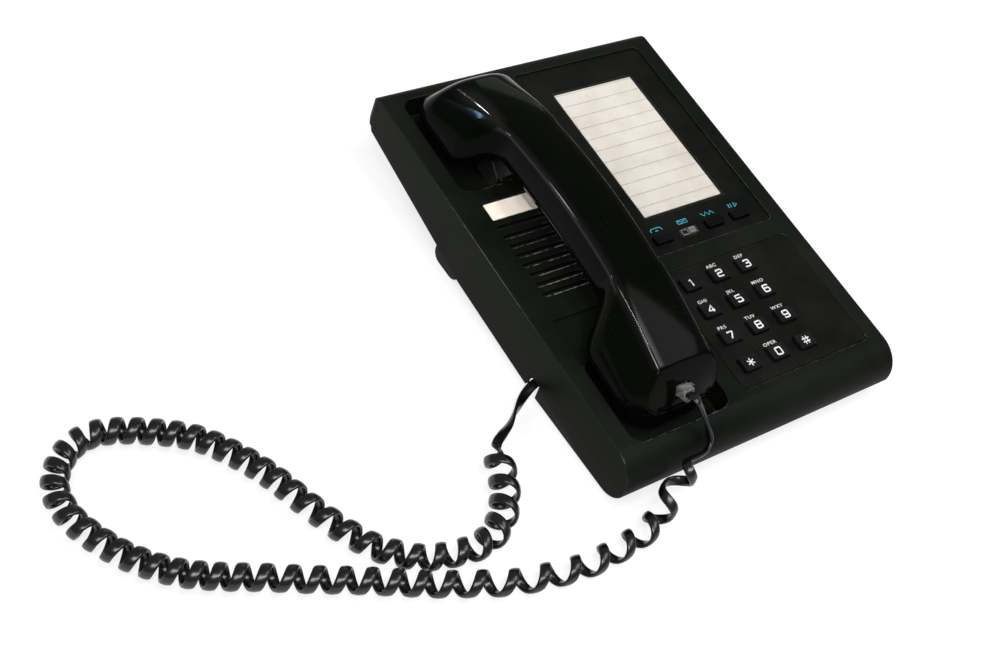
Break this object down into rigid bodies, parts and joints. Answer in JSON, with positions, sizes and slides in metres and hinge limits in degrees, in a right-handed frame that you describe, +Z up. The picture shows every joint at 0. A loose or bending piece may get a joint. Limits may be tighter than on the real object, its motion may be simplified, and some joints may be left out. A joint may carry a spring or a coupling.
{
  "type": "corded desk telephone",
  "caption": "Black corded desk telephone with a sloping body, push-button keypad, card windows, a lift-off handset lying in two wells and a curly handset cord.",
  "frame": {"origin": "on the table, under the middle of the body's box, the cord not counted", "axes": "+X to the user's right, +Y from the user to the rear, +Z up"},
  "size_m": [0.4123, 0.2746, 0.0831],
  "materials": {
    "housing_black": "satin, lightly worn",
    "base_black": "matt",
    "panel_black": "satin",
    "key_black": "satin",
    "handset_black": "polished",
    "card_paper": "paper",
    "clear_window": "clear",
    "lens_clear": "clear grey",
    "led_red": "clear red",
    "mat_rubber": "matt",
    "board_green": "lacquered",
    "steel": "plated",
    "hook_grey": "satin",
    "switch_dark": "matt",
    "cloth_black": "woven",
    "speaker_grey": "satin",
    "capsule_metal": "plain",
    "weight_iron": "plain",
    "jack_black": "matt",
    "plug_clear": "clear",
    "cord_black": "satin",
    "foot_rubber": "matt"
  },
  "bodies": {
    "base": {"upper_housing": "housing_black", "base_shell": "base_black", "function_panel": "panel_black", "dial_panel": "panel_black", "directory_card": "card_paper", "directory_window": "clear_window", "number_card": "card_paper", "number_window": "clear_window", "message_lens": "lens_clear", "message_led": "led_red", "keypad_mat": "mat_rubber", "main_board": "board_green", "board_screws": "steel", "hook_spring": "steel", "hook_switch": "switch_dark", "hanger_tab": "housing_black", "speaker_cloth": "cloth_black", "ringer_speaker": "speaker_grey", "base_jack": "jack_black", "line_jack": "jack_black", "handset_cord": "cord_black", "cord_plug_base": "plug_clear", "case_screws": "steel", "front_feet": "foot_rubber", "rear_feet": "foot_rubber"},
    "handset": {"handset_back": "handset_black", "handset_face": "handset_black", "receiver_capsule": "capsule_metal", "microphone_capsule": "capsule_metal", "handset_weight": "weight_iron", "handset_jack": "jack_black", "handset_screws": "steel", "cord_plug_handset": "plug_clear"},
    "hook": {"hook_plunger": "hook_grey"},
    "key_1": {"key_1": "key_black"},
    "key_2": {"key_2": "key_black"},
    "key_3": {"key_3": "key_black"},
    "key_4": {"key_4": "key_black"},
    "key_5": {"key_5": "key_black"},
    "key_6": {"key_6": "key_black"},
    "key_7": {"key_7": "key_black"},
    "key_8": {"key_8": "key_black"},
    "key_9": {"key_9": "key_black"},
    "key_star": {"key_star": "key_black"},
    "key_0": {"key_0": "key_black"},
    "key_hash": {"key_hash": "key_black"},
    "button_left": {"button_left": "key_black"},
    "button_middle": {"button_middle": "key_black"},
    "button_right": {"button_right": "key_black"}
  },
  "joints": [
    {"name": "handset_lift", "type": "slide", "parent": "base", "child": "handset", "axis": [0, -0.0802, 0.9968], "range_m": [0, 0.08], "deforming": ["handset_cord"]},
    {"name": "hook_rise", "type": "slide", "parent": "base", "child": "hook", "axis": [0, -0.0802, 0.9968], "range_m": [0, 0.004], "deforming": ["hook_spring"]},
    {"name": "key_1_press", "type": "slide", "parent": "base", "child": "key_1", "axis": [0, 0.0802, -0.9968], "range_m": [0, 0.0015], "stiffness_N_per_m": 200},
    {"name": "key_2_press", "type": "slide", "parent": "base", "child": "key_2", "axis": [0, 0.0802, -0.9968], "range_m": [0, 0.0015], "stiffness_N_per_m": 200},
    {"name": "key_3_press", "type": "slide", "parent": "base", "child": "key_3", "axis": [0, 0.0802, -0.9968], "range_m": [0, 0.0015], "stiffness_N_per_m": 200},
    {"name": "key_4_press", "type": "slide", "parent": "base", "child": "key_4", "axis": [0, 0.0802, -0.9968], "range_m": [0, 0.0015], "stiffness_N_per_m": 200},
    {"name": "key_5_press", "type": "slide", "parent": "base", "child": "key_5", "axis": [0, 0.0802, -0.9968], "range_m": [0, 0.0015], "stiffness_N_per_m": 200},
    {"name": "key_6_press", "type": "slide", "parent": "base", "child": "key_6", "axis": [0, 0.0802, -0.9968], "range_m": [0, 0.0015], "stiffness_N_per_m": 200},
    {"name": "key_7_press", "type": "slide", "parent": "base", "child": "key_7", "axis": [0, 0.0802, -0.9968], "range_m": [0, 0.0015], "stiffness_N_per_m": 200},
    {"name": "key_8_press", "type": "slide", "parent": "base", "child": "key_8", "axis": [0, 0.0802, -0.9968], "range_m": [0, 0.0015], "stiffness_N_per_m": 200},
    {"name": "key_9_press", "type": "slide", "parent": "base", "child": "key_9", "axis": [0, 0.0802, -0.9968], "range_m": [0, 0.0015], "stiffness_N_per_m": 200},
    {"name": "key_star_press", "type": "slide", "parent": "base", "child": "key_star", "axis": [0, 0.0802, -0.9968], "range_m": [0, 0.0015], "stiffness_N_per_m": 200},
    {"name": "key_0_press", "type": "slide", "parent": "base", "child": "key_0", "axis": [0, 0.0802, -0.9968], "range_m": [0, 0.0015], "stiffness_N_per_m": 200},
    {"name": "key_hash_press", "type": "slide", "parent": "base", "child": "key_hash", "axis": [0, 0.0802, -0.9968], "range_m": [0, 0.0015], "stiffness_N_per_m": 200},
    {"name": "button_left_press", "type": "slide", "parent": "base", "child": "button_left", "axis": [0, 0.0802, -0.9968], "range_m": [0, 0.0012], "stiffness_N_per_m": 250},
    {"name": "button_middle_press", "type": "slide", "parent": "base", "child": "button_middle", "axis": [0, 0.0802, -0.9968], "range_m": [0, 0.0012], "stiffness_N_per_m": 250},
    {"name": "button_right_press", "type": "slide", "parent": "base", "child": "button_right", "axis": [0, 0.0802, -0.9968], "range_m": [0, 0.0012], "stiffness_N_per_m": 250}
  ],
  "couplings": [
    {"joint": "hook_rise", "follows": "handset_lift", "ratio": 0.05}
  ]
}
